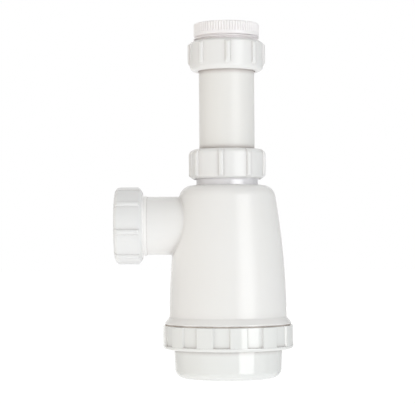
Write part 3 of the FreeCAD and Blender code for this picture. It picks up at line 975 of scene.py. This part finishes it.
class TRAP_OT_cup(bpy.types.Operator):
    """Cleanout cup with its recessed grip band and its thread"""

    bl_idname = "trap.cup"
    bl_label = "Cleanout Cup"

    def execute(self, context):
        cup = context.scene.trap_cup
        sizes = context.scene.trap_thread
        finishes = context.scene.trap_finish
        finish = moulded_white(
            "cup_gloss_white", finishes.cup, finishes.cup_rough, ripple=0.10, crease_shade=1.35, bend=1.57,
            alone=True)
        recess = cup_recesses(cup)
        top = CUP_HIGH.z
        sill = cup.depth + cup.recess_sill
        ledge = cup.depth + cup.ledge
        edge = cup.band_edge
        female = thread(
            sizes.foot_pitch, sizes.female_relief - sizes.foot_depth, cup.thread_foot, top, 0.5)
        rows = outline([
            Corner(0.0, cup.gate_depth),
            Corner(cup.gate - cup.gate_depth, cup.gate_depth, edge),
            Corner(cup.gate, 0.0, edge),
            Corner(cup.base, 0.0, cup.corner),
            Corner(cup.top, cup.depth, edge),
            Corner(cup.band, cup.depth, cup.band_foot),
            Corner(cup.band, sill, step=SILL_ROW, relief=recess),
            Corner(cup.band, sill + SILL_BAND, step=RECESS_ROW, relief=recess),
            Corner(cup.band, top, edge, relief=recess),
            Corner(cup.band_bore + edge, top),
            Corner(cup.band_bore, top - edge, step=BAND_THREAD_ROW, relief=female),
            Corner(cup.band_bore, ledge, edge),
            Corner(cup.top - cup.wall, ledge, edge),
            Corner(cup.base - cup.wall, cup.floor, cup.corner - cup.wall),
            Corner(0.0, cup.floor),
        ])
        marks = [cup.recess_width / 2 + cup.recess_flank * part for part in RECESS_COLUMNS]
        spread = mirrored([mark / cup.band for mark in marks], math.pi / cup.recess_count)
        columns = repeated(spread, cup.recess_count, cup.recess_turn)
        mesh = turned_mesh(rows, columns, closed=False)
        show("cup_recessed", mesh, Matrix.Identity(4), finish, "cup_white", "cup", "cleanout_cup")
        return {"FINISHED"}


class TRAP_OT_rings(bpy.types.Operator):
    """Finish of the slip rings, seals, washers and gasket"""

    bl_idname = "trap.rings"
    bl_label = "Rings and Seals"

    def execute(self, context):
        finishes = context.scene.trap_finish
        ring = moulded_white(
            "ring_matt_white", finishes.ring, finishes.ring_rough, ripple=0.05, grain=0.25)
        refinish(ring, "neck_slip_ring", "outlet_slip_ring")
        rubber = moulded_rubber("seal_black_rubber", finishes.rubber, finishes.rubber_rough)
        refinish(rubber, "neck_seal", "outlet_seal", "inlet_washer", "bush_washer", "cup_gasket")
        return {"FINISHED"}


# Parts of the stage


def seen_directly(tree):
    """Mask of the rays that see the background: from the camera, in gloss and through glass."""
    path = tree.nodes.new("ShaderNodeLightPath")
    seen = path.outputs["Is Camera Ray"]
    for ray in ("Is Glossy Ray", "Is Transmission Ray"):
        larger = joined(tree, "ShaderNodeMath", seen, path.outputs[ray])
        larger.operation = "MAXIMUM"
        seen = larger.outputs[0]
    return seen


def stage_material(name):
    """New material with no nodes yet, whose glow is not sampled as a lamp."""
    material = bpy.data.materials.new(name)
    material.use_nodes = True
    material.cycles.emission_sampling = "NONE"
    material.node_tree.nodes.clear()
    return material, material.node_tree


def stage_face(context, name, corners, material):
    """One flat face of the stage."""
    mesh = bpy.data.meshes.new(name)
    mesh.from_pydata(corners, [], [(0, 1, 2, 3)])
    mesh.materials.append(material)
    piece = bpy.data.objects.new(name, mesh)
    context.scene.collection.objects.link(piece)
    return piece


def round_trap(bearing, height):
    """Place of a lamp or card, at a bearing to the right of the camera."""
    turn = math.radians(bearing)
    return Vector((LIGHT_DISTANCE * math.sin(turn), -LIGHT_DISTANCE * math.cos(turn), height))


def studio_world(context, studio):
    """White background that lights the object at a plain level."""
    world = bpy.data.worlds.new("studio_white")
    context.scene.world = world
    world.use_nodes = True
    tree = world.node_tree
    tree.nodes.clear()
    tint = (*studio.ambient_tint, 1.0)
    direction = tree.nodes.new("ShaderNodeTexCoord").outputs["Generated"]
    rise = add_node(tree, "ShaderNodeSeparateXYZ", Vector=direction).outputs["Z"]
    strength = ranged(tree, rise, low=0.15, high=0.75, first=studio.horizon, second=studio.ambient)
    light = add_node(tree, "ShaderNodeBackground", Color=tint, Strength=strength)
    white = add_node(tree, "ShaderNodeBackground", Color=(1, 1, 1, 1), Strength=1.0)
    both = joined(
        tree, "ShaderNodeMixShader", seen_directly(tree), light.outputs[0], white.outputs[0])
    add_node(tree, "ShaderNodeOutputWorld", Surface=both.outputs[0])


def studio_floor(context, studio):
    """Pale floor that runs into the background and keeps the object's shadow."""
    material, tree = stage_material("floor_white")
    sides = []
    for grey, lift in ((studio.floor, studio.floor_lift), (studio.floor_shade, studio.floor_glow)):
        matt = add_node(tree, "ShaderNodeBsdfDiffuse", Color=(grey, grey, grey, 1.0))
        glow = add_node(tree, "ShaderNodeEmission", Strength=lift)
        added = joined(tree, "ShaderNodeAddShader", matt.outputs[0], glow.outputs[0])
        sides.append(added.outputs[0])
    both = joined(tree, "ShaderNodeMixShader", seen_directly(tree), *sides)
    add_node(tree, "ShaderNodeOutputMaterial", Surface=both.outputs[0])
    quarters = ((-1, -1, 0), (1, -1, 0), (1, 1, 0), (-1, 1, 0))
    corners = [Vector(quarter) * FLOOR_REACH for quarter in quarters]
    stage_face(context, "floor", corners, material).visible_glossy = False


def gloss_card(context, name, bearing, width, brightness):
    """Upright card round the trap that shows only in its gloss."""
    material, tree = stage_material(name + "_tone")
    glow = add_node(tree, "ShaderNodeEmission", Strength=brightness)
    add_node(tree, "ShaderNodeOutputMaterial", Surface=glow.outputs[0])
    turn = math.radians(bearing)
    along = Vector((math.cos(turn), math.sin(turn), 0)) * width / 2
    low = round_trap(bearing, CARD_LOW)
    high = round_trap(bearing, CARD_HIGH)
    card = stage_face(context, name, (low - along, low + along, high + along, high - along), material)
    for ray in ("camera", "diffuse", "shadow", "transmission"):
        setattr(card, "visible_" + ray, False)


def softbox(context, name, bearing, width, brightness, tint):
    """Rectangular light that faces the bottle and stays out of its gloss."""
    lamp = bpy.data.lights.new(name, "AREA")
    lamp.shape = "RECTANGLE"
    lamp.size = width
    lamp.size_y = LAMP_FACE
    lamp.energy = brightness * math.pi * width * LAMP_FACE
    lamp.color = tint
    light = bpy.data.objects.new(name, lamp)
    light.visible_glossy = False
    light.location = round_trap(bearing, LAMP_HEIGHT)
    aim = Vector((0, 0, LAMP_AIM)) - light.location
    light.rotation_euler = aim.to_track_quat("-Z", "Y").to_euler()
    context.scene.collection.objects.link(light)


def studio_camera(context, studio):
    """Camera at the photograph's height, distance and framing."""
    lens = bpy.data.cameras.new("camera")
    lens.lens = studio.lens
    camera = bpy.data.objects.new("camera", lens)
    camera.location = (studio.across, -studio.distance, studio.eye)
    tilt = math.atan2(studio.aim - studio.eye, studio.distance)
    camera.rotation_euler = (math.pi / 2 + tilt, studio.roll, 0.0)
    context.scene.collection.objects.link(camera)
    context.scene.camera = camera


class TRAP_OT_studio(bpy.types.Operator):
    """Floor, background, lights and camera"""

    bl_idname = "trap.studio"
    bl_label = "Studio"

    def execute(self, context):
        studio = context.scene.trap_studio
        context.scene.view_settings.view_transform = "Standard"
        studio_world(context, studio)
        studio_floor(context, studio)
        for name, bearing, width, brightness, tint in (
            ("key_right", 38.0, 0.48, studio.key, studio.key_tint),
            ("front_low", -5.0, 0.55, studio.front, studio.front_tint),
            ("side_left", -75.0, 0.45, studio.side, studio.side_tint),
            ("back_low", 175.0, 0.90, studio.back, studio.front_tint),
        ):
            softbox(context, name, bearing, width, brightness, tint)
        for name, bearing, width, brightness in (
            ("strip_right", 38.0, 0.70, studio.strip),
            ("dark_right", 122.0, 2.00, studio.dark_right),
            ("dark_left", -128.0, 0.90, studio.dark_left),
            ("dim_left", -68.0, 1.90, studio.dim_left),
        ):
            gloss_card(context, name, bearing, width, brightness)
        studio_camera(context, studio)
        return {"FINISHED"}


class TRAP_PT_sidebar(bpy.types.Panel):
    """Lists the trap's pieces and their settings"""

    bl_idname = "TRAP_PT_sidebar"
    bl_label = "Bottle Trap"
    bl_space_type = "VIEW_3D"
    bl_region_type = "UI"
    bl_category = "Bottle Trap"

    def draw(self, context):
        for operator in OPERATORS:
            self.layout.operator(operator.bl_idname)
        for name, group in SETTINGS.items():
            box = self.layout.box()
            box.label(text=group.bl_rna.description)
            for setting in group.__annotations__:
                box.prop(getattr(context.scene, name), setting)


SETTINGS = {
    "trap_thread": TrapThreadSettings,
    "trap_collar": TrapCollarSettings,
    "trap_nut": TrapNutSettings,
    "trap_bush": TrapBushSettings,
    "trap_cup": TrapCupSettings,
    "trap_finish": TrapFinishSettings,
    "trap_studio": TrapStudioSettings,
}
OPERATORS = (
    TRAP_OT_bottle,
    TRAP_OT_tube,
    TRAP_OT_union_nuts,
    TRAP_OT_bush,
    TRAP_OT_cup,
    TRAP_OT_rings,
    TRAP_OT_studio,
)
CLASSES = (*SETTINGS.values(), *OPERATORS, TRAP_PT_sidebar)


def register():
    """Registers the classes and gives the scene its settings."""
    for item in CLASSES:
        bpy.utils.register_class(item)
    for name, group in SETTINGS.items():
        setattr(bpy.types.Scene, name, PointerProperty(type=group))


def unregister():
    """Takes the settings and classes away again."""
    for name in SETTINGS:
        delattr(bpy.types.Scene, name)
    for item in reversed(CLASSES):
        bpy.utils.unregister_class(item)


def main():
    """Builds the trap."""
    register()
    bpy.ops.trap.bottle()
    bpy.ops.trap.tube()
    bpy.ops.trap.union_nuts()
    bpy.ops.trap.bush()
    bpy.ops.trap.cup()
    bpy.ops.trap.rings()
    bpy.ops.trap.studio()


if __name__ == "__main__":
    main()
